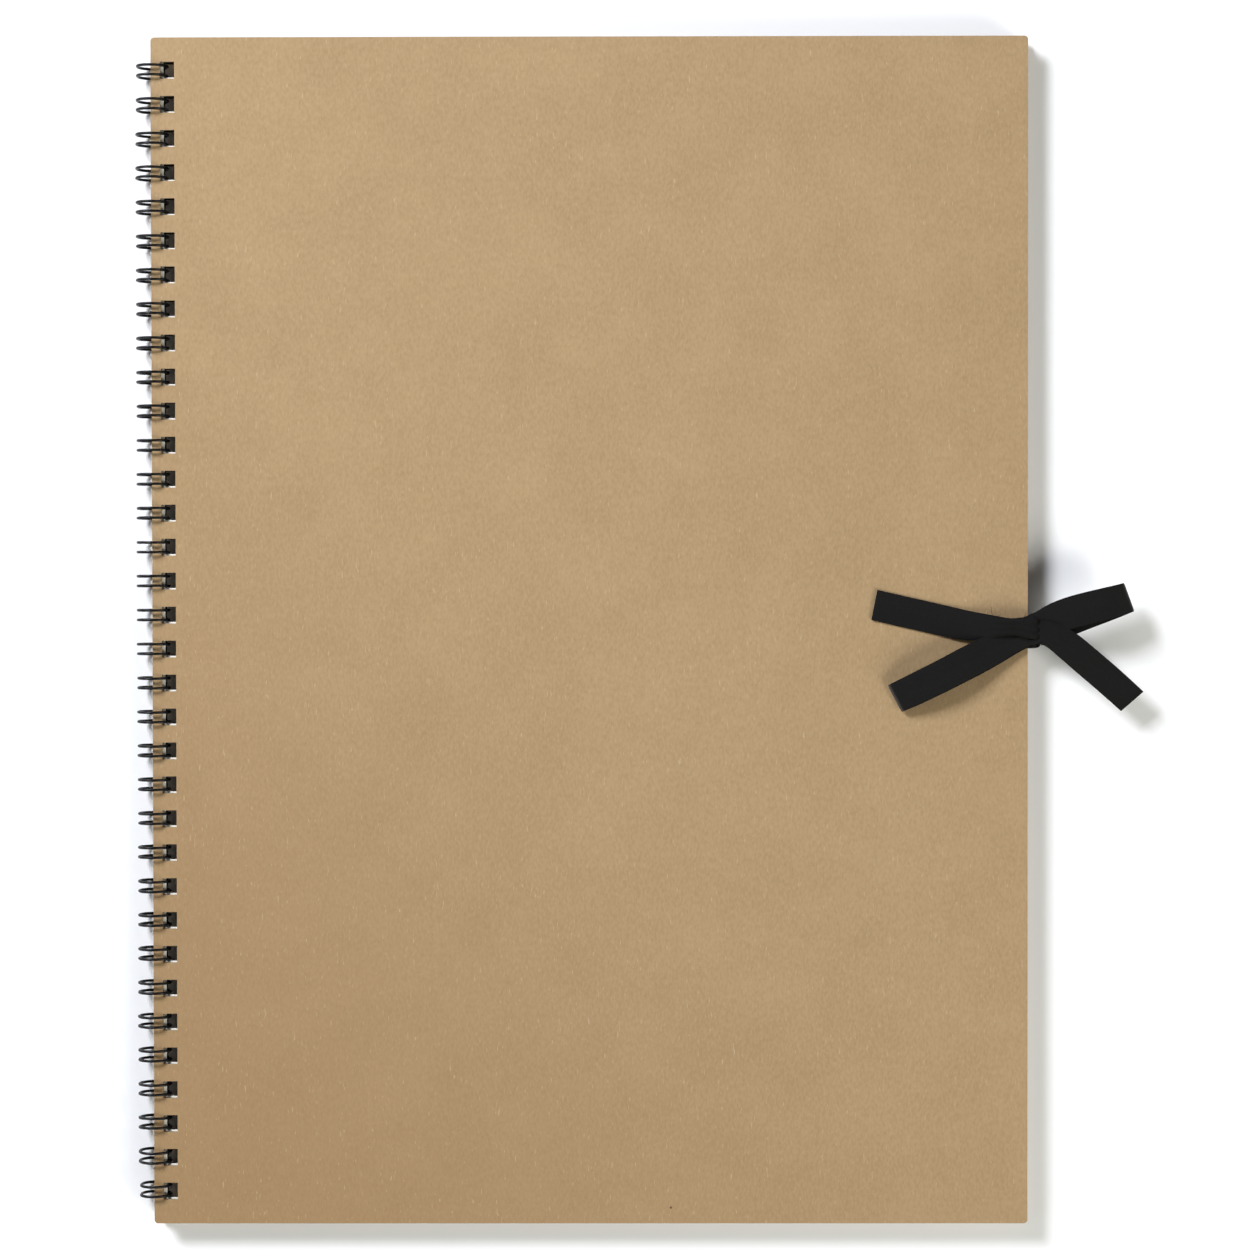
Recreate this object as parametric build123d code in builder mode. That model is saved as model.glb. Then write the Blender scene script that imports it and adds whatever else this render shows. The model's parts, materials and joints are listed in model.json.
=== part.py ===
"""Scrapbook album: two kraft board covers, a flyleaf and twelve card pages on a twin-loop wire,
tied at the fore-edge with two ribbons.

The album lies flat on its back cover, front cover up, with the spine wire on its left.
X runs from the spine to the fore-edge, Y along the spine and Z up. The origin is under the
middle of the album, at the level of the wire's lowest point. All sizes are in millimetres.
"""

import os
from math import cos, hypot, radians, sin, sqrt

from build123d import *

# Covers
cover_width = 218.0
cover_height = 295.6
cover_thickness = 1.0
cover_corner = 0.9
cover_edge_strip = 2.35  # board left between the spine edge and the holes

# Pages
page_count = 12
page_thickness = 0.2
flyleaf_thickness = 0.12
leaf_gap = 0.02  # air between neighbouring leaves
page_edge_strip = 2.1  # card left between a page's spine edge and its holes
page_end_margin = 2.0  # how far a page stays inside the cover at the head and the tail
page_fore_margin = 3.0  # and at the fore-edge
page_corner = 0.6
flyleaf_slide = 0.4  # how far the flyleaf has slid towards the head, in the wire's play

# Twin-loop wire, three loops to the inch
pitch = 25.4 / 3
wire_diameter = 0.7
loop_half_gap = 1.2  # from a loop's middle to the centreline of each of its two strands
root_bend = 1.0  # bend between a strand and the straight run to the next loop
root_angle = -40.0  # where a strand leaves the root line, seen along +Y from the right
tip_angle = 272.0  # where it turns round into its twin, out of sight under the back cover
end_margin = 6.0  # least distance from a cover's end to the middle of a loop

# Holes
hole_width = 3.5
hole_side_clearance = 0.55  # from a strand to the hole's side, along the spine
hinge_inset = 0.08  # the rings' centre lies this far outside the covers' spine edge
cover_wire_clearance = 0.18  # from the hole's spine side to the wire, at a cover's outer face
page_wire_clearance = 0.12  # the same at the outermost page

# Ribbon ties
ribbon_width = 8.0
ribbon_thickness = 0.4
ribbon_seat = 28.0  # length glued inside a cover
ribbon_clearance = 0.2  # each side of the ribbon in its groove
patch_length = 22.0
patch_width = 30.0
patch_thickness = 0.15
patch_inset = 9.0  # from the fore-edge to the patch
front_strap_lead = 0.5  # straight run past the fore-edge before the ribbon turns up
front_strap_bend = 0.7
back_strap_lead = 1.6
back_strap_bend = 1.2
strap_gap = 0.3  # between the back ribbon's strap and the knot that it goes up into

# Bow, measured from the middle of its knot
knot_length = 10.2
knot_width = 8.6
knot_rise = 3.7
knot_round = 1.1
knot_lift = 0.25  # between the cover and the knot
knot_out = -0.6  # from the fore-edge to the knot's middle, outwards
knot_y = -0.5
tail_lift = 0.05  # from the knot's underside to the tails
loop_lift = 0.5  # and to the loops
loop_rise = 3.0  # outer height of a loop
left_loop_reach = 35.6
left_loop_turn = 207.4
right_loop_reach = 27.2
right_loop_turn = 19.2
left_tail_reach = 37.9
left_tail_turn = 170.0
right_tail_reach = 31.9
right_tail_turn = -32.8
loop_start = 0.6  # where a loop's band begins inside the knot
tail_start = 1.0  # and a tail

# Heights, counted from the rings' centre, which is half-way up the closed stack
pages_thickness = page_count * page_thickness + flyleaf_thickness
stack = 2 * cover_thickness + pages_thickness + (page_count + 2) * leaf_gap
page_reach = stack / 2 - cover_thickness - leaf_gap

# The wire passes each cover's holes near their spine side
ring_inner = hypot(stack / 2, cover_edge_strip + hinge_inset + cover_wire_clearance)
ring_radius = ring_inner + wire_diameter / 2
hole_height = 2 * (loop_half_gap + wire_diameter / 2 + hole_side_clearance)
page_hole_left = sqrt(ring_inner**2 - page_reach**2) - hinge_inset - page_wire_clearance
loop_count = int((cover_height - 2 * end_margin) / pitch) + 1

# Places in the album's own frame
ring_reach = hinge_inset + ring_radius + wire_diameter / 2  # past the spine edge
spine_x = (ring_reach - cover_width) / 2
fore_x = spine_x + cover_width
hinge_x = spine_x - hinge_inset
hinge_z = ring_radius + wire_diameter / 2
back_z = hinge_z - stack / 2
front_z = hinge_z + stack / 2 - cover_thickness
top_z = front_z + cover_thickness


def leaf(low_z, thickness, left, right, height, corner, hole_left):
    """A flat rectangular leaf with its row of holes along the spine."""
    with BuildPart() as sheet:
        with BuildSketch(Plane.XY.offset(low_z)):
            with Locations(((left + right) / 2, 0)):
                RectangleRounded(right - left, height, corner)
            with Locations((hole_left + hole_width / 2, 0)):
                with GridLocations(pitch, pitch, 1, loop_count):
                    Rectangle(hole_width, hole_height, mode=Mode.SUBTRACT)
        extrude(amount=thickness)
    return sheet.part


def cover(low_z, inner_z, inward):
    """A board with a groove for the ribbon's end and a shallow seat for the patch over it.

    inner_z is the height of the face towards the pages, and inward is +1 when the board
    lies above that face and -1 when it lies below.
    """
    with BuildPart() as board:
        add(leaf(low_z, cover_thickness, spine_x, fore_x, cover_height, cover_corner,
                 spine_x + cover_edge_strip))
        with BuildSketch(Plane.XY.offset(inner_z)):
            with Locations((fore_x - ribbon_seat / 2, knot_y)):
                Rectangle(ribbon_seat, ribbon_width + 2 * ribbon_clearance)
        extrude(amount=inward * (patch_thickness + ribbon_thickness), mode=Mode.SUBTRACT)
        with BuildSketch(Plane.XY.offset(inner_z)):
            with Locations((fore_x - patch_inset - patch_length / 2, knot_y)):
                Rectangle(patch_length + 2 * ribbon_clearance, patch_width + 2 * ribbon_clearance)
        extrude(amount=inward * patch_thickness, mode=Mode.SUBTRACT)
    return board.part


def patch(inner_z, inward):
    """The paper patch that holds a ribbon's end in its groove, flush with the cover."""
    with BuildPart() as paper:
        with BuildSketch(Plane.XY.offset(inner_z)):
            with Locations((fore_x - patch_inset - patch_length / 2, knot_y)):
                Rectangle(patch_length, patch_width)
        extrude(amount=inward * patch_thickness)
    return paper.part


def strap(middle_z, lead, bend, end_z):
    """A ribbon's run from its groove, out past the fore-edge and up to the knot."""
    turn_x = fore_x + lead
    half = ribbon_thickness / 2
    seat_x = fore_x - ribbon_seat + ribbon_clearance
    start = Plane(origin=(seat_x, knot_y, middle_z), x_dir=(0, 1, 0), z_dir=(1, 0, 0))
    with BuildPart() as band:
        with BuildLine():
            Line((seat_x, knot_y, middle_z), (turn_x, knot_y, middle_z))
            TangentArc((turn_x, knot_y, middle_z),
                       (turn_x + bend, knot_y, middle_z + bend), tangent=(1, 0, 0))
            Line((turn_x + bend, knot_y, middle_z + bend), (turn_x + bend, knot_y, end_z))
        with BuildSketch(start):
            Rectangle(ribbon_width, 2 * half)
        sweep()
    return band.part


def arm_plane(turn):
    """The upright plane through the knot's middle that a bow's arm points along."""
    across = (sin(radians(turn)), -cos(radians(turn)), 0)
    along = (cos(radians(turn)), sin(radians(turn)), 0)
    return Plane(origin=(fore_x + knot_out, knot_y, knot_z), x_dir=along, z_dir=across)


def bow_loop(reach, turn):
    """A flattened band of ribbon that runs out of the knot, folds over and comes back."""
    length = reach - loop_start
    with BuildPart() as band:
        with BuildSketch(arm_plane(turn)):
            with Locations((loop_start + length / 2, loop_lift + loop_rise / 2)):
                SlotOverall(length, loop_rise)
                SlotOverall(length - 2 * ribbon_thickness, loop_rise - 2 * ribbon_thickness,
                            mode=Mode.SUBTRACT)
        extrude(amount=ribbon_width / 2, both=True)
    return band.part


def bow_tail(reach, turn):
    """A ribbon's free end, lying straight out from the knot."""
    length = reach - tail_start
    with BuildPart() as band:
        with BuildSketch(arm_plane(turn)):
            with Locations((tail_start + length / 2, tail_lift + ribbon_thickness / 2)):
                Rectangle(length, ribbon_thickness)
        extrude(amount=ribbon_width / 2, both=True)
    return band.part


def save(piece, name):
    piece.label = name
    export_step(piece, f"parts/{name}.step")


os.makedirs("parts", exist_ok=True)

# Covers and the patches inside them
save(cover(back_z, back_z + cover_thickness, -1), "back_cover")
save(cover(front_z, front_z, 1), "front_cover")
save(patch(back_z + cover_thickness, -1), "ribbon_patch_back")
save(patch(front_z, 1), "ribbon_patch_front")

# Pages, counted from the front, with the flyleaf over them
page_left = spine_x + page_hole_left - page_edge_strip
page_right = fore_x - page_fore_margin
page_height = cover_height - 2 * page_end_margin
for number in range(1, page_count + 1):
    below = page_count - number
    low_z = back_z + cover_thickness + leaf_gap + below * (page_thickness + leaf_gap)
    page = leaf(low_z, page_thickness, page_left, page_right, page_height, page_corner,
                spine_x + page_hole_left)
    save(page, f"page_{number:02d}")
flyleaf = leaf(front_z - leaf_gap - flyleaf_thickness, flyleaf_thickness, page_left, page_right,
               page_height, page_corner, spine_x + page_hole_left)
save(Pos(0, flyleaf_slide, 0) * flyleaf, "flyleaf")


def ring_point(angle, y, ahead=0.0):
    """A point on a strand's circle, or so far ahead of it along its tangent."""
    turn = radians(angle)
    return (hinge_x + ring_radius * cos(turn) - ahead * sin(turn), y,
            hinge_z + ring_radius * sin(turn) + ahead * cos(turn))


# One loop of the wire: half a root run, a bend, a strand nearly all the way round, the tip's
# turn, the twin strand back, a bend and the other half run
middle_angle = (root_angle + tip_angle) / 2
near = -loop_half_gap
far = loop_half_gap
bend_middle = root_bend * sqrt(0.5)
with BuildPart() as wire_loop:
    with BuildLine():
        Line(ring_point(root_angle, -pitch / 2, -root_bend),
             ring_point(root_angle, near - root_bend, -root_bend))
        ThreePointArc(ring_point(root_angle, near - root_bend, -root_bend),
                      ring_point(root_angle, near - root_bend + bend_middle, -bend_middle),
                      ring_point(root_angle, near))
        ThreePointArc(ring_point(root_angle, near), ring_point(middle_angle, near),
                      ring_point(tip_angle, near))
        ThreePointArc(ring_point(tip_angle, near), ring_point(tip_angle, 0, loop_half_gap),
                      ring_point(tip_angle, far))
        ThreePointArc(ring_point(tip_angle, far), ring_point(middle_angle, far),
                      ring_point(root_angle, far))
        ThreePointArc(ring_point(root_angle, far),
                      ring_point(root_angle, far + root_bend - bend_middle, -bend_middle),
                      ring_point(root_angle, far + root_bend, -root_bend))
        Line(ring_point(root_angle, far + root_bend, -root_bend),
             ring_point(root_angle, pitch / 2, -root_bend))
    with BuildSketch(Plane(origin=ring_point(root_angle, -pitch / 2, -root_bend),
                           x_dir=(1, 0, 0), z_dir=(0, 1, 0))):
        Circle(wire_diameter / 2)
    sweep()

with BuildPart() as binding_wire:
    with GridLocations(pitch, pitch, 1, loop_count):
        add(wire_loop.part)
save(binding_wire.part, "binding_wire")

# Ribbons: each comes out of its cover at the fore-edge and goes up to the knot
knot_z = top_z + knot_lift
in_cover = patch_thickness + ribbon_thickness / 2
save(strap(front_z + in_cover, front_strap_lead, front_strap_bend, knot_z),
     "ribbon_strap_front")
save(strap(back_z + cover_thickness - in_cover, back_strap_lead, back_strap_bend,
           knot_z - strap_gap), "ribbon_strap_back")

# The bow
with BuildPart() as knot:
    with BuildSketch(Plane.XY.offset(knot_z)):
        with Locations((fore_x + knot_out, knot_y)):
            RectangleRounded(knot_length, knot_width, 2 * knot_round)
    extrude(amount=knot_rise)
    fillet(knot.edges().group_by(Axis.Z)[-1], knot_round)
save(knot.part, "ribbon_knot")
save(bow_loop(left_loop_reach, left_loop_turn), "ribbon_loop_left")
save(bow_loop(right_loop_reach, right_loop_turn), "ribbon_loop_right")
save(bow_tail(left_tail_reach, left_tail_turn), "ribbon_tail_left")
save(bow_tail(right_tail_reach, right_tail_turn), "ribbon_tail_right")
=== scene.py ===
import json
import math

import bpy
import numpy as np
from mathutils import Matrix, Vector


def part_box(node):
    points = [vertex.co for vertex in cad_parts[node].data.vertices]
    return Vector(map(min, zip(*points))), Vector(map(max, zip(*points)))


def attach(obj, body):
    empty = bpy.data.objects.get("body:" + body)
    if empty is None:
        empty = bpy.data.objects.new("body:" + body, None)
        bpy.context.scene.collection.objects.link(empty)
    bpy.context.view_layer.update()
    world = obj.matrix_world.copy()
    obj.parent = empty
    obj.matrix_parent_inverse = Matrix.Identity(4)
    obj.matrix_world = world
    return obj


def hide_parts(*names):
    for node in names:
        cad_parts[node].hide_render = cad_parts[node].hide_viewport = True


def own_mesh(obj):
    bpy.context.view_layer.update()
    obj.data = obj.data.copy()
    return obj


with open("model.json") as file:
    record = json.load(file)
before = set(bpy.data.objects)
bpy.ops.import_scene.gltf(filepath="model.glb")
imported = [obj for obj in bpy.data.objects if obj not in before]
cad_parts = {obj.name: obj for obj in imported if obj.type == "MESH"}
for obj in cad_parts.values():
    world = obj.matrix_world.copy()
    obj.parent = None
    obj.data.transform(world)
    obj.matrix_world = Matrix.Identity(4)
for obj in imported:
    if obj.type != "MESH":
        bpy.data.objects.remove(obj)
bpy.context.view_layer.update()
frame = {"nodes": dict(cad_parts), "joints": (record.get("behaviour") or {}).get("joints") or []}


# --- Camera ------------------------------------------------------------------------------------
# It hangs over the front cover and looks almost straight down, a degree towards the tail.
MM = 0.001
CAMERA_INSIDE_FORE_EDGE = 94.7 * MM
CAMERA_ABOVE_MIDDLE = 12.6 * MM  # towards the head
CAMERA_OVER_COVER = 793 * MM
CAMERA_TILT = (-0.883, 0.309, -0.072)  # degrees about X, Y and Z
_, cover_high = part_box("front_cover")
lens_view = bpy.data.cameras.new("overhead")
lens_view.sensor_width = 36
lens_view.lens = 91
overhead = bpy.data.objects.new("overhead", lens_view)
overhead.location = (cover_high.x - CAMERA_INSIDE_FORE_EDGE, CAMERA_ABOVE_MIDDLE,
                     cover_high.z + CAMERA_OVER_COVER)
overhead.rotation_euler = [math.radians(angle) for angle in CAMERA_TILT]
bpy.context.scene.collection.objects.link(overhead)
bpy.context.scene.camera = overhead


# --- Ribbon ties -------------------------------------------------------------------------------
# Black cotton tape, 8 mm wide, cut square at its ends. One is glued inside each cover, and the
# two are tied in a bow whose knot sits on the fore-edge.
RIBBON_WIDTH = 8 * MM
RIBBON_THICKNESS = 0.34 * MM
UNGATHERED = 3.75 * MM  # half of the width, above which the tape lies flat
PLEAT_HEIGHT = 0.6 * MM
EDGE_DROP = 1.2 * MM
edge = np.array([cover_high.x, 0, cover_high.z])
strap_low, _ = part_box("ribbon_strap_back")
back_strap_z = (strap_low.z - cover_high.z) / MM + 0.2

# Each row is a point of the route, in millimetres from the fore-edge's top, then the heading of
# the tape's width in degrees and half of that width, which is less where the knot gathers it.
FRONT_ROUTE = [
    # glued in its groove, then out of the cover and up past its edge
    (-27, -0.5, -0.65, 90, 3.9),
    (-14, -0.5, -0.65, 90, 3.9),
    (-3, -0.5, -0.65, 90, 3.9),
    (1.5, -0.5, -0.65, 90, 3.7),
    (1.7, -0.7, 0.5, 92, 3.3),
    (-0.5, -1.1, 0.75, 98, 2.9),
    # under layer of the loop over the cover
    (-5, -3.1, 0.55, 110, 3.3),
    (-10, -5.6, 0.45, 116, 3.75),
    (-16, -8.6, 0.4, 117.5, 3.9),
    (-23, -12.1, 0.4, 117.5, 3.9),
    (-29, -15, 0.5, 117.5, 3.85),
    # its fold
    (-32.6, -16.5, 0.6, 117.8, 3.8),
    (-33.3, -16.8, 1.5, 117.8, 3.75),
    (-31.8, -16, 2.5, 117.8, 3.8),
    # top layer, back into the knot
    (-27, -13.6, 3.9, 117.5, 3.9),
    (-21, -10.6, 4.6, 117.5, 3.95),
    (-15.5, -7.7, 3.8, 117, 3.95),
    (-10.5, -5.2, 2.5, 115, 3.9),
    (-6, -3.1, 2, 110, 3.5),
    (-2.5, -1.6, 2.1, 102, 3),
    (1.8, -0.3, 2.4, 90, 2.8),
    # the free end, off the cover's edge
    (5.2, -0.4, 2.8, 70, 3.3),
    (9.5, -3.4, 2.9, 58, 3.7),
    (13.4, -6.7, 2.5, 52, 3.75),
    (17.6, -10.2, 1.8, 50, 3.75),
    (21.8, -13.8, 1.2, 46.5, 3.75),
    (25.9, -17.5, 0.5, 41, 3.7),
]
BACK_ROUTE = [
    # out of the knot and along the under layer of the loop beside the album
    (3, -0.3, 0.45, 95, 3.3),
    (6, 0.8, 0.6, 108, 3.6),
    (10.5, 2.8, 0.55, 110, 3.85),
    (15.5, 4.8, 0.5, 110.5, 3.9),
    (20, 6.5, 0.7, 110.5, 3.9),
    # its fold
    (24.2, 8.1, 0.8, 110, 3.8),
    (25.1, 8.5, 1.7, 110, 3.75),
    (23.7, 8.1, 2.9, 110, 3.8),
    # top layer, back to the knot
    (20, 7.2, 4.3, 110, 3.9),
    (15.2, 6, 4.8, 110.5, 4),
    (10.4, 4.7, 3.4, 113, 4),
    (6.3, 3.2, 2.1, 115, 3.8),
    (2.8, 1.6, 1.5, 108, 3.3),
    (-2, 0.4, 1.5, 90, 2.7),
    # once round the knot, underneath, up beside it and over the top
    (-4.4, 0, 1, 78, 2.4),
    (-2.6, -0.3, 0.5, 72, 2.4),
    (-0.2, -0.2, 0.5, 74, 2.6),
    (2.1, 0.3, 0.9, 84, 2.8),
    (2.5, 0.6, 2, 88, 2.8),
    (2.1, 0.7, 3, 90, 2.8),
    (0.6, 0.9, 3.7, 88, 2.7),
    (-1.9, 1.1, 3.9, 84, 2.4),
    (-4.8, 1.15, 3.9, 80, 2.05),
    (-7.6, 1.1, 3.4, 80, 2.55),
    # the free end, laid on the cover
    (-11, 1, 2.2, 80, 3.3),
    (-15.5, 1.4, 1, 79.5, 3.75),
    (-21, 2.6, 0.45, 78.8, 3.85),
    (-28, 4.2, 0.4, 78.6, 3.85),
    (-34, 5.55, 0.4, 78.6, 3.85),
    (-38.2, 6.55, 0.5, 78.6, 3.85),
]
BACK_STRAP = [
    (-27, -0.5, back_strap_z, 90, 3.9),
    (-14, -0.5, back_strap_z, 90, 3.9),
    (-4, -0.5, back_strap_z, 90, 3.9),
    (1.5, -0.5, back_strap_z, 90, 3.9),
    (2.7, -0.5, back_strap_z + 0.3, 90, 3.8),
    (2.8, -0.5, back_strap_z + 2, 90, 3.6),
    (2.6, -0.6, -0.8, 91, 3.3),
    (2.5, -0.6, 0.25, 92, 3.1),
]


def smooth_line(points, steps=10):
    """Points read along the NURBS curve that has the given control points, ends included."""
    curve = bpy.data.curves.new("route", "CURVE")
    curve.dimensions = "3D"
    curve.resolution_u = steps
    spline = curve.splines.new("NURBS")
    spline.points.add(len(points) - 1)
    spline.points.foreach_set("co", np.column_stack([points, np.ones(len(points))]).ravel())
    spline.order_u = 3
    spline.use_endpoint_u = True
    holder = bpy.data.objects.new("route", curve)
    bpy.context.scene.collection.objects.link(holder)
    bpy.context.view_layer.update()
    mesh = bpy.data.meshes.new_from_object(holder)
    line = np.empty(3 * len(mesh.vertices))
    mesh.vertices.foreach_get("co", line)
    bpy.data.objects.remove(holder)
    bpy.data.curves.remove(curve)
    bpy.data.meshes.remove(mesh)
    return line.reshape(-1, 3)


def unit(vectors):
    """Each row scaled to length one."""
    return vectors / np.linalg.norm(vectors, axis=-1, keepdims=True)


def tube_mesh(name, rings, uv):
    """A skin over rings of points (ring, point round it, xyz), capped at both ends.

    uv gives each point its two coordinates along and across the piece, in metres.
    """
    count, sides = rings.shape[:2]
    ring = np.arange(count - 1)[:, None]
    here = np.arange(sides)[None, :]
    after = (here + 1) % sides
    quads = np.stack([ring * sides + here, ring * sides + after,
                      (ring + 1) * sides + after, (ring + 1) * sides + here], -1)
    faces = quads.reshape(-1, 4).tolist()
    faces.append(list(range(sides))[::-1])
    faces.append(list(range((count - 1) * sides, count * sides)))
    mesh = bpy.data.meshes.new(name)
    mesh.from_pydata(rings.reshape(-1, 3).tolist(), [], faces)
    corner = np.empty(len(mesh.loops), int)
    mesh.loops.foreach_get("vertex_index", corner)
    layer = mesh.uv_layers.new(name="along_across")
    layer.uv.foreach_set("vector", uv.reshape(-1, 2)[corner].ravel())
    smooth = np.ones(len(mesh.polygons), bool)
    smooth[-2:] = False
    mesh.polygons.foreach_set("use_smooth", smooth)
    mesh.update()
    piece = bpy.data.objects.new(name, mesh)
    bpy.context.scene.collection.objects.link(piece)
    return piece


def tape(name, route, arch=1):
    """A woven tape along a route: a flat strip with rounded selvedges.

    Across, q runs from -1 to 1. The strip is line + q * side, half a thickness out on each
    face times the square root of 1 - q^12. Where the width is gathered below its full value,
    the tape arches away from its edges, by q^2, and the spare cloth stands in pleats, a
    cosine of q. Both grow as the width shrinks, and arch, 1 or -1, says towards which face.
    A painted highlight, lighter on the folds, grows with how sharply it turns, where the width
    isn't gathered.
    """
    rows = np.array(route, float)
    heading = np.radians(rows[:, 3])
    across = np.column_stack([np.cos(heading), np.sin(heading), 0 * heading]) * rows[:, 4:]
    line = edge + smooth_line(rows[:, :3]) * MM
    side = smooth_line(across) * MM
    ahead = unit(np.gradient(line, axis=0))
    up = unit(np.cross(ahead, side))
    travel = np.concatenate([[0], np.cumsum(np.linalg.norm(np.diff(line, axis=0), axis=1))])
    half = np.linalg.norm(side, axis=1)
    spare = np.clip(1 - half / UNGATHERED, 0, 0.5)
    q = np.sin(np.linspace(-np.pi / 2, np.pi / 2, 23))
    rise = RIBBON_THICKNESS / 2 * np.sqrt(1 - q**12)
    q_round = np.concatenate([q, q[-2:0:-1]])
    rise_round = np.concatenate([rise, -rise[-2:0:-1]])
    wave = np.cos(3 * np.pi * q_round) - 1
    gather = arch * (PLEAT_HEIGHT * wave - EDGE_DROP * q_round**2)
    lift = rise_round[None, :] + spare[:, None] * gather[None, :]
    rings = line[:, None] + q_round[None, :, None] * side[:, None] + lift[..., None] * up[:, None]
    uv = np.stack(np.broadcast_arrays(travel[:, None], q_round[None, :] * RIBBON_WIDTH / 2), -1)
    piece = tube_mesh(name, rings, uv)
    # Painted highlight: where the tape turns sharply, at its folds, it is marked to be painted
    # lighter, as if the fold caught the light.
    sharpness = np.linalg.norm(np.gradient(ahead, travel, axis=0), axis=1) * MM
    wear_and_highlight = np.clip((sharpness - 0.25) / 0.6, 0, 1) * np.clip(1 - spare / 0.05, 0, 1)
    fold_highlight = piece.data.attributes.new("fold_highlight", "FLOAT", "POINT")
    fold_highlight.data.foreach_set("value", np.repeat(wear_and_highlight, len(q_round)))
    return piece, line


def add(tree, kind, sockets=None, **settings):
    """Adds a node, with its settings, and gives or links its inputs by name or number."""
    made = tree.nodes.new(kind)
    for key, value in settings.items():
        setattr(made, key, value)
    for key, value in (sockets or {}).items():
        if isinstance(value, bpy.types.NodeSocket):
            tree.links.new(value, made.inputs[key])
        else:
            made.inputs[key].default_value = value
    return made


def paint(red, green, blue):
    """A colour as a paint chart gives it, 0 to 255, turned into the light it reflects."""
    chart = np.array([red, green, blue]) / 255
    return (*np.where(chart <= 0.04045, chart / 12.92, ((chart + 0.055) / 1.055) ** 2.4), 1)


def new_finish(name):
    """An empty material with its surface shader, and the tree to build in."""
    finish = bpy.data.materials.new(name)
    finish.use_nodes = True
    tree = finish.node_tree
    return finish, tree, tree.nodes["Principled BSDF"]


RIB_PITCH = 0.62 * MM
WARP_PITCH = 0.4 * MM
SELVEDGE_START, SELVEDGE_TOP = 3.2 * MM, 3.5 * MM


def ribbon_finish():
    """Cotton twill: a sine of along + |across| for the ribs, which so slant both ways about the
    middle, and a weaker sine of across for the warp, with lint, dust and a selvedge. The colour
    has painted shade in the weave's grooves and a painted highlight, lighter grey, on sharp folds."""
    finish, tree, surface = new_finish("black_cotton_tape")
    uv = add(tree, "ShaderNodeUVMap", uv_map="along_across")
    axis = add(tree, "ShaderNodeSeparateXYZ", {0: uv.outputs[0]})
    along, across = axis.outputs[0], axis.outputs[1]
    off_middle = add(tree, "ShaderNodeMath", {0: across}, operation="ABSOLUTE").outputs[0]
    slant = add(tree, "ShaderNodeMath", {0: along, 1: off_middle}, operation="ADD").outputs[0]
    ribs = add(tree, "ShaderNodeMath", {0: slant, 1: 2 * math.pi / RIB_PITCH},
               operation="MULTIPLY").outputs[0]
    rib = add(tree, "ShaderNodeMath", {0: ribs}, operation="SINE").outputs[0]
    warps = add(tree, "ShaderNodeMath", {0: across, 1: 2 * math.pi / WARP_PITCH},
                operation="MULTIPLY").outputs[0]
    warp = add(tree, "ShaderNodeMath", {0: warps}, operation="SINE").outputs[0]
    weave = add(tree, "ShaderNodeMath", {0: warp, 1: 0.45, 2: rib},
                operation="MULTIPLY_ADD").outputs[0]
    lint = add(tree, "ShaderNodeTexNoise", {"Vector": uv.outputs[0], "Scale": 4200, "Detail": 3})
    dust = add(tree, "ShaderNodeTexNoise", {"Vector": uv.outputs[0], "Scale": 260, "Detail": 2})
    selvedge = add(tree, "ShaderNodeMapRange",
                   {0: off_middle, 1: SELVEDGE_START, 2: SELVEDGE_TOP}).outputs[0]
    # Painted shade in the weave: the colour is darker in its grooves and lighter on its ribs,
    # after the same weave as the bump. Lint and dust then vary it.
    shade = add(tree, "ShaderNodeMapRange", {0: weave, 1: -1.4, 2: 1.4, 3: 0.1, 4: 0.9}).outputs[0]
    dust_and_weave_shade = add(tree, "ShaderNodeMath", {0: shade, 1: lint.outputs[0]}, operation="MULTIPLY")
    dust_and_weave_shade = add(tree, "ShaderNodeMath", {0: dust.outputs[0], 1: 0.5, 2: dust_and_weave_shade.outputs[0]},
                operation="MULTIPLY_ADD").outputs[0]
    colour = add(tree, "ShaderNodeMix", {0: dust_and_weave_shade, 6: paint(4, 4, 4), 7: paint(20, 19, 18)},
                 data_type="RGBA")
    # Painted highlight: lighter grey on the sharp folds, broken up by the lint noise.
    fold_highlight_share = add(tree, "ShaderNodeAttribute", attribute_name="fold_highlight").outputs["Fac"]
    highlight_share = add(tree, "ShaderNodeMath", {0: fold_highlight_share, 1: lint.outputs[0]},
                 operation="MULTIPLY").outputs[0]
    colour = add(tree, "ShaderNodeMix", {0: highlight_share, 6: colour.outputs[2], 7: paint(96, 92, 88)},
                 data_type="RGBA")
    tree.links.new(colour.outputs[2], surface.inputs["Base Color"])
    rough = add(tree, "ShaderNodeMapRange", {0: dust_and_weave_shade, 1: 0, 2: 1, 3: 0.78, 4: 0.95})
    tree.links.new(rough.outputs[0], surface.inputs["Roughness"])
    height = add(tree, "ShaderNodeMath", {0: selvedge, 1: 1.2, 2: weave},
                 operation="MULTIPLY_ADD").outputs[0]
    bump = add(tree, "ShaderNodeBump", {"Height": height, "Strength": 0.6,
                                        "Distance": 0.05 * MM})
    tree.links.new(bump.outputs[0], surface.inputs["Normal"])
    surface.inputs["Specular IOR Level"].default_value = 0.2
    return finish


def press_flat(piece):
    """Gives the piece a mesh of its own; it is not pressed flat."""
    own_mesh(piece)


cotton = ribbon_finish()
front_ribbon, front_line = tape("front_ribbon", FRONT_ROUTE)
front_ribbon.data.materials.append(cotton)
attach(front_ribbon, "album_front")
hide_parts("ribbon_strap_front", "ribbon_loop_left", "ribbon_tail_right")
press_flat(front_ribbon)

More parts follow.
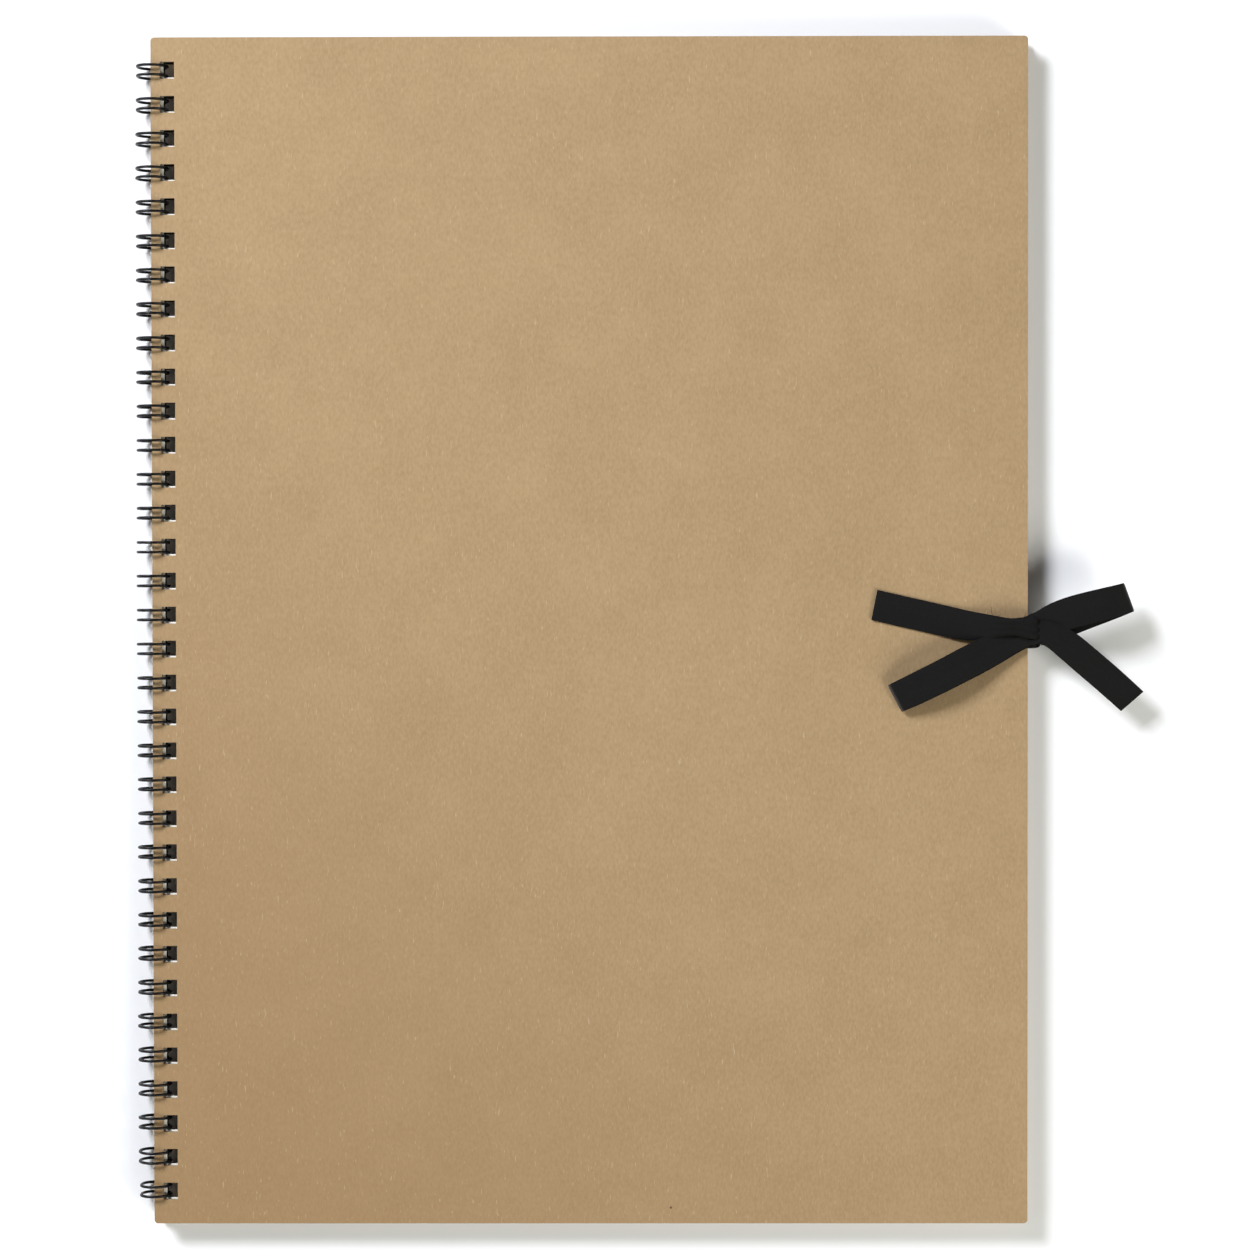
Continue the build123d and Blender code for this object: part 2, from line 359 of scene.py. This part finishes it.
bow_ribbon, bow_line = tape("back_ribbon_bow", BACK_ROUTE, arch=-1)
bow_ribbon.data.materials.append(cotton)
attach(bow_ribbon, "album_front")
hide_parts("ribbon_loop_right", "ribbon_tail_left", "ribbon_knot")
press_flat(bow_ribbon)

back_strap, _ = tape("back_ribbon_strap", BACK_STRAP)
back_strap.data.materials.append(cotton)
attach(back_strap, "album_back")
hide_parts("ribbon_strap_back")


# --- Frayed threads ----------------------------------------------------------------------------
# A few cotton ends that have pulled out of the tape's edge by the knot, a tenth of a
# millimetre thick, held by the weave.
THREAD_RADII = (0.055 * MM, 0.035 * MM)  # at the tape, and at the loose end


def thread(name, points):
    """A round thread along a curve, thinner towards its loose end."""
    line = edge + smooth_line(np.array(points, float)) * MM
    ahead = unit(np.gradient(line, axis=0))
    beside = unit(np.cross(ahead, [1.0, 0.3, 0.2]))
    above = np.cross(ahead, beside)
    turn = np.arange(6) * np.pi / 3
    section = (np.cos(turn)[None, :, None] * beside[:, None]
               + np.sin(turn)[None, :, None] * above[:, None])
    radius = np.linspace(*THREAD_RADII, len(line))
    rings = line[:, None] + section * radius[:, None, None]
    uv = np.stack(np.broadcast_arrays(np.linspace(0, 3 * MM, len(line))[:, None],
                                      turn[None, :] * 0.05 * MM), -1)
    return tube_mesh(name, rings, uv)


THREADS = [
    [(-9.1, 3.4, 1.9), (-9, 3.9, 2.6), (-9.35, 4.8, 2.4), (-9.15, 5.6, 1.5), (-9.3, 6.2, 0.9)],
    [(-8.6, 3.3, 2), (-8, 3.8, 2.5), (-7.2, 3.8, 1.9), (-6.9, 4.2, 1.1)],
    [(-10.1, 3.8, 1.7), (-10.4, 4.2, 2), (-10.2, 4.7, 1.2)],
    [(-1.6, 3.1, 2.9), (-1.1, 3.9, 3), (-0.6, 4.4, 2.2), (-0.7, 4.5, 1.1)],
    [(0.3, 3.2, 3), (0.7, 3.9, 3.1), (0.5, 4.4, 2.4)],
    [(-5.9, 2.8, 2.9), (-5.6, 3.3, 3), (-4.9, 3.5, 2.2)],
]
for number, points in enumerate(THREADS, 1):
    frayed = thread(f"frayed_thread_{number}", points)
    frayed.data.materials.append(cotton)
    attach(frayed, "album_front")
    press_flat(frayed)


# --- Kraft board covers ------------------------------------------------------------------------
# Two sheets of millimetre-thick kraft board, die-cut with a row of square holes. The face is
# brown with pulled fibres and a rare dark speck, with painted shade that darkens and browns it
# towards the lower left, and the cut edge shows the paler core.
def blend_colours(tree, share, first, second):
    """first, and second where share is 1."""
    return add(tree, "ShaderNodeMix", {0: share, 6: first, 7: second},
               data_type="RGBA").outputs[2]


def paper_look():
    """The look that all the album's paper and board share, as one node group.

    Place and Facing are the point and normal on the sheet. Streaks are noise drawn out along
    the sheet and clouds are wide noise: they mix Dark and Face. Fibres, in the Pale colour,
    are the peaks over Fibre of finer noise drawn out three ways. Specks are small discs round
    a share of scattered points. Painted shade blends in Brown towards the lower left, the foot
    of the spine, by the share that the painted-shade input gives. Where the normal lies flat,
    on the cut edges and the holes' walls, fine plies of Core show instead.
    """
    group = bpy.data.node_groups.new("paper_look", "ShaderNodeTree")
    for name, kind in (("Place", "Vector"), ("Facing", "Vector"), ("Face", "Color"),
                       ("Pale", "Color"), ("Dark", "Color"), ("Core", "Color"),
                       ("Brown", "Color"), ("PaintedShade", "Float"), ("Fibre", "Float"),
                       ("Specks", "Float"), ("Roughness", "Float")):
        group.interface.new_socket(name, in_out="INPUT", socket_type=f"NodeSocket{kind}")
    for name, kind in (("Colour", "Color"), ("Roughness", "Float"), ("Tooth", "Float")):
        group.interface.new_socket(name, in_out="OUTPUT", socket_type=f"NodeSocket{kind}")
    given = group.nodes.new("NodeGroupInput").outputs
    end = group.nodes.new("NodeGroupOutput")

    def maths(operation, *values):
        return add(group, "ShaderNodeMath", dict(enumerate(values)),
                   operation=operation).outputs[0]

    def noise(scale, detail, turn=0, stretch=1):
        """Noise whose grain runs along a direction, turned so far from the sheet's length."""
        turned = add(group, "ShaderNodeMapping",
                     {"Vector": given["Place"], "Rotation": (0, 0, math.radians(turn)),
                      "Scale": (1, stretch, 1)})
        return add(group, "ShaderNodeTexNoise", {"Vector": turned.outputs[0], "Scale": scale,
                                                 "Detail": detail}).outputs[0]

    def spread(value, low, high, to_low=0.0, to_high=1.0):
        return add(group, "ShaderNodeMapRange",
                   {0: value, 1: low, 2: high, 3: to_low, 4: to_high}).outputs[0]

    streaks = noise(1700, 5, stretch=0.5)
    clouds = noise(70, 4)
    tone = maths("MULTIPLY_ADD", spread(clouds, 0.3, 0.7), 0.31,
                 maths("MULTIPLY", spread(streaks, 0.3, 0.7), 0.69))
    colour = blend_colours(group, tone, given["Dark"], given["Face"])
    # Painted shade: the face is darkened and browned towards the lower left, the foot of the
    # spine, where the light falls off.
    along = add(group, "ShaderNodeVectorMath", {0: given["Place"], 1: (-1, -1, 0)},
                operation="DOT_PRODUCT").outputs["Value"]
    painted_shade = add(group, "ShaderNodeMapRange", {0: along, 1: -0.02, 2: 0.26},
               interpolation_type="SMOOTHSTEP").outputs[0]
    colour = blend_colours(group, maths("MULTIPLY", painted_shade, given["PaintedShade"]), colour, given["Brown"])
    flecks = [spread(noise(scale, 1, turn, 0.2), given["Fibre"], 0.8)
              for turn, scale in ((6, 2400), (58, 2200), (-41, 2300))]
    fleck = maths("MAXIMUM", maths("MAXIMUM", flecks[0], flecks[1]), flecks[2])
    colour = blend_colours(group, maths("MULTIPLY", fleck, 0.4), colour, given["Pale"])
    cells = add(group, "ShaderNodeTexVoronoi", {"Vector": given["Place"], "Scale": 46})
    chance = add(group, "ShaderNodeSeparateXYZ", {0: cells.outputs["Color"]}).outputs[0]
    speck = maths("MULTIPLY", maths("LESS_THAN", cells.outputs["Distance"], 0.014),
                  maths("LESS_THAN", chance, given["Specks"]))
    colour = blend_colours(group, speck, colour, paint(96, 66, 44))
    plies = add(group, "ShaderNodeMapping", {"Vector": given["Place"], "Scale": (300, 300, 9000)})
    grain = add(group, "ShaderNodeTexNoise", {"Vector": plies.outputs[0], "Scale": 1, "Detail": 2})
    ply = add(group, "ShaderNodeVectorMath",
              {0: given["Core"], "Scale": spread(grain.outputs[0], 0, 1, 0.6, 1)},
              operation="SCALE").outputs[0]
    upright = add(group, "ShaderNodeSeparateXYZ", {0: given["Facing"]}).outputs[2]
    cut = maths("LESS_THAN", maths("ABSOLUTE", upright), 0.5)
    colour = blend_colours(group, cut, colour, ply)
    tooth = maths("MULTIPLY_ADD", streaks, 0.6, noise(3600, 3))
    rough = maths("MULTIPLY_ADD", spread(tooth, 0.4, 1.2), -0.16,
                  maths("ADD", given["Roughness"], 0.06))
    group.links.new(colour, end.inputs["Colour"])
    group.links.new(rough, end.inputs["Roughness"])
    group.links.new(tooth, end.inputs["Tooth"])
    return group


paper = paper_look()


def sheet_finish(name, face, pale, dark, core, fibre, specks, roughness, tooth, painted_shade=0):
    """Paper or board with the shared look, in its own colours.

    held is how much painted shade, darker and browner, the face gets towards the lower left,
    the foot of the spine.
    """
    finish, tree, surface = new_finish(name)
    coords = add(tree, "ShaderNodeTexCoord")
    # The colour of the painted shade: the dark colour made browner.
    brown = tuple(c * k for c, k in zip(dark[:3], (0.84, 0.73, 0.62))) + (1,)
    look = add(tree, "ShaderNodeGroup", {}, node_tree=paper)
    tree.links.new(coords.outputs["Object"], look.inputs["Place"])
    tree.links.new(coords.outputs["Normal"], look.inputs["Facing"])
    for socket, value in (("Face", face), ("Pale", pale), ("Dark", dark), ("Core", core),
                          ("Brown", brown), ("PaintedShade", painted_shade), ("Fibre", fibre),
                          ("Specks", specks), ("Roughness", roughness)):
        look.inputs[socket].default_value = value
    tree.links.new(look.outputs["Colour"], surface.inputs["Base Color"])
    tree.links.new(look.outputs["Roughness"], surface.inputs["Roughness"])
    bump = add(tree, "ShaderNodeBump", {"Height": look.outputs["Tooth"], "Strength": 0.5,
                                        "Distance": tooth})
    tree.links.new(bump.outputs[0], surface.inputs["Normal"])
    surface.inputs["Specular IOR Level"].default_value = 0.3
    return finish


def dress(node, finish):
    """Gives a CAD node its finish, in place of its plain one."""
    mesh = frame["nodes"][node].data
    mesh.materials.clear()
    mesh.materials.append(finish)


# The board gets half of the painted shade, darker and browner, towards the lower left.
kraft = sheet_finish("kraft_board", face=paint(168, 142, 106), pale=paint(196, 174, 142),
                     dark=paint(152, 126, 91), core=paint(178, 163, 138), fibre=0.71,
                     specks=0.05, roughness=0.8, tooth=0.04 * MM, painted_shade=0.5)
dress("front_cover", kraft)
dress("back_cover", kraft)


# --- Patches -----------------------------------------------------------------------------------
# A slip of the same kraft paper, pasted over each ribbon's end in its groove.
patch_paper = sheet_finish("kraft_paper_patch", face=paint(163, 136, 102),
                           pale=paint(188, 166, 135), dark=paint(151, 125, 92),
                           core=paint(172, 154, 126), fibre=0.67, specks=0.08, roughness=0.82,
                           tooth=0.04 * MM)
dress("ribbon_patch_front", patch_paper)
dress("ribbon_patch_back", patch_paper)


# --- Pages -------------------------------------------------------------------------------------
# One white flyleaf, then black card for mounting prints on. They are cut a little smaller than
# the covers and have the same row of holes, a little further in, so that the wire clears them.
white_paper = sheet_finish("white_flyleaf", face=paint(236, 234, 228), pale=paint(246, 245, 240),
                           dark=paint(226, 224, 217), core=paint(225, 223, 216), fibre=0.7,
                           specks=0, roughness=0.85, tooth=0.03 * MM)
black_card = sheet_finish("black_card", face=paint(20, 19, 19), pale=paint(38, 37, 36),
                          dark=paint(13, 12, 12), core=paint(28, 27, 26), fibre=0.69,
                          specks=0, roughness=0.86, tooth=0.05 * MM)
dress("flyleaf", white_paper)
for node in frame["nodes"]:
    if node.startswith("page_"):
        dress(node, black_card)


# --- Binding wire ------------------------------------------------------------------------------
# One steel wire with a black coat, bent into pairs of strands that pass through the holes and
# closed round behind the back cover, where each pair's tip meets the straight root runs.
PITCH = 25.4 / 3 * MM
WIRE = 0.7 * MM
HALF_GAP = 1.2 * MM
ROOT_BEND = 1 * MM
ROOT_ANGLE = math.radians(-40)
TIP_ANGLE = math.radians(272)
WIRE_SIDES = 10
SQUEEZE_TREND = ([0, 3, 12, 17, 22, 29, 32, 33], [0.33, 0.1, 0.12, 0, 0.18, 0, 0.05, 0.4])
wire_low, wire_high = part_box("binding_wire")
hinge = frame["joints"][0]["pos_m"]
ring_radius = hinge[0] - wire_low.x - WIRE / 2
loop_count = round((wire_high.y - wire_low.y) / PITCH)


def wire_run(y_middle, lean, squeeze):
    """One loop: its points and, at each, the way out from the rings' centre.

    The loop is a strand round the circle from the root angle to the tip angle, half a turn
    across to its twin, and the twin back, with a quarter turn onto the root run at each end.
    lean slides it along the spine with height, and squeeze takes it in on the spine's side.
    """
    near = -HALF_GAP
    quarter = np.linspace(0, np.pi / 2, 7)
    turn = np.linspace(ROOT_ANGLE, TIP_ANGLE, 56)
    half_turn = np.linspace(0, np.pi, 11)[1:-1]
    bend_y = near - ROOT_BEND + ROOT_BEND * np.sin(quarter)
    bend_ahead = -ROOT_BEND * np.cos(quarter)
    angle = np.concatenate([[ROOT_ANGLE], np.full(6, ROOT_ANGLE), turn,
                            np.full(9, TIP_ANGLE), turn[::-1], np.full(6, ROOT_ANGLE),
                            [ROOT_ANGLE]])
    y = np.concatenate([[-PITCH / 2], bend_y[:-1], np.full(56, near),
                        -HALF_GAP * np.cos(half_turn), np.full(56, -near),
                        -bend_y[:-1][::-1], [PITCH / 2]])
    ahead = np.concatenate([[-ROOT_BEND], bend_ahead[:-1], np.zeros(56),
                            HALF_GAP * np.sin(half_turn), np.zeros(56),
                            bend_ahead[:-1][::-1], [-ROOT_BEND]])
    out = np.column_stack([np.cos(angle), 0 * angle, np.sin(angle)])
    along = np.column_stack([-np.sin(angle), 0 * angle, np.cos(angle)])
    open_share = np.sin(np.clip((angle - ROOT_ANGLE) / (TIP_ANGLE - ROOT_ANGLE), 0, 1) * np.pi)
    radius = ring_radius - squeeze * np.clip(-np.cos(angle), 0, 1) ** 6
    points = out * radius[:, None] + along * ahead[:, None]
    points[:, 1] = y + lean * points[:, 2] * open_share + y_middle
    return points[:-1], out[:-1]


def binding_wire():
    """The whole wire: its runs end to end, each section a circle square to the way ahead.

    The loops are pressed in a little, by the trend from the head to the tail, in millimetres.
    """
    chance = np.random.default_rng(34)
    leans = chance.normal(0, 0.022, loop_count)
    pressed = np.interp(np.arange(loop_count), *SQUEEZE_TREND)
    squeezes = (pressed[::-1] + chance.normal(0.04, 0.03, loop_count)) * MM
    middles = (np.arange(loop_count) - (loop_count - 1) / 2) * PITCH
    runs = [wire_run(*run) for run in zip(middles, leans, squeezes)]
    points = np.concatenate([p for p, _ in runs]) + np.array([hinge[0], 0, hinge[2]])
    out = np.concatenate([o for _, o in runs])
    ahead = unit(np.gradient(points, axis=0))
    out = unit(out - (out * ahead).sum(1, keepdims=True) * ahead)
    beside = np.cross(ahead, out)
    turn = np.arange(WIRE_SIDES) * 2 * np.pi / WIRE_SIDES
    section = (np.cos(turn)[None, :, None] * out[:, None]
               + np.sin(turn)[None, :, None] * beside[:, None])
    rings = points[:, None] + section * WIRE / 2
    travel = np.concatenate([[0], np.cumsum(np.linalg.norm(np.diff(points, axis=0), axis=1))])
    uv = np.stack(np.broadcast_arrays(travel[:, None], turn[None, :] * WIRE / 2), -1)
    return tube_mesh("twin_loop_wire", rings, uv)


def wire_finish():
    """A thin black coat on wire: almost even, with faint scuffs that take the shine off."""
    finish, tree, surface = new_finish("black_coated_wire")
    coords = add(tree, "ShaderNodeTexCoord")
    scuff = add(tree, "ShaderNodeTexNoise",
                {"Vector": coords.outputs["Object"], "Scale": 900, "Detail": 5})
    wear_and_highlight = add(tree, "ShaderNodeMapRange", {0: scuff.outputs[0], 1: 0.62, 2: 0.75}).outputs[0]
    colour = blend_colours(tree, wear_and_highlight, paint(9, 8, 8), paint(38, 35, 33))
    tree.links.new(colour, surface.inputs["Base Color"])
    rough = add(tree, "ShaderNodeMapRange", {0: scuff.outputs[0], 3: 0.3, 4: 0.5})
    tree.links.new(rough.outputs[0], surface.inputs["Roughness"])
    bump = add(tree, "ShaderNodeBump", {"Height": scuff.outputs[0], "Strength": 0.2,
                                        "Distance": 0.02 * MM})
    tree.links.new(bump.outputs[0], surface.inputs["Normal"])
    surface.inputs["Specular IOR Level"].default_value = 0.25
    return finish


wire = binding_wire()
wire.data.materials.append(wire_finish())
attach(wire, "album_back")
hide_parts("binding_wire")


# --- Table and light ---------------------------------------------------------------------------
# A plain white table between pale walls, with a soft key lamp beyond the top left and weaker
# ones on the other sides. It is dark straight overhead, so that the holes stay black.
def floor_plane():
    """A square sheet at the height that the wire rests on."""
    reach = 3
    mesh = bpy.data.meshes.new("table")
    mesh.from_pydata([(-reach, -reach, 0), (reach, -reach, 0), (reach, reach, 0),
                      (-reach, reach, 0)], [], [(0, 1, 2, 3)])
    table = bpy.data.objects.new("table", mesh)
    bpy.context.scene.collection.objects.link(table)
    finish, _, surface = new_finish("white_table")
    surface.inputs["Base Color"].default_value = (0.93, 0.93, 0.93, 1)
    surface.inputs["Roughness"].default_value = 0.9
    mesh.materials.append(finish)
    return table


def soft_lamp(name, place, size, power, colour):
    """A square lamp that faces the album."""
    light = bpy.data.lights.new(name, "AREA")
    light.size = size
    light.energy = power
    light.color = colour
    lamp = bpy.data.objects.new(name, light)
    lamp.location = place
    lamp.rotation_euler = (-lamp.location).to_track_quat("-Z", "Y").to_euler()
    bpy.context.scene.collection.objects.link(lamp)


floor_plane()
soft_lamp("key", place=(-0.68, 0.7, 0.8), size=0.42, power=20.6, colour=(0.97, 1, 1.07))
soft_lamp("fill_right", place=(0.95, -0.72, 0.72), size=0.6, power=13.4, colour=(1, 1, 0.93))
soft_lamp("fill_foot", place=(0.3, -1.35, 0.9), size=0.8, power=4, colour=(1, 1, 0.94))
soft_lamp("fill_left", place=(-1.3, -0.25, 0.8), size=0.8, power=2.6, colour=(1, 1, 0.96))
WALL_LIGHT, CEILING_LIGHT = 0.35, 0.055
surround = bpy.data.worlds.new("surround")
surround.use_nodes = True
skyward = add(surround.node_tree, "ShaderNodeTexCoord").outputs["Generated"]
steepness = add(surround.node_tree, "ShaderNodeSeparateXYZ", {0: skyward}).outputs[2]
pale_walls = add(surround.node_tree, "ShaderNodeMapRange",
                 {0: steepness, 1: 0.12, 2: 0.4, 3: WALL_LIGHT, 4: CEILING_LIGHT},
                 interpolation_type="SMOOTHSTEP")
surround.node_tree.links.new(pale_walls.outputs[0],
                             surround.node_tree.nodes["Background"].inputs["Strength"])
surround.node_tree.nodes["Background"].inputs["Color"].default_value = (1, 1, 1, 1)
bpy.context.scene.world = surround
bpy.context.scene.view_settings.view_transform = "Standard"
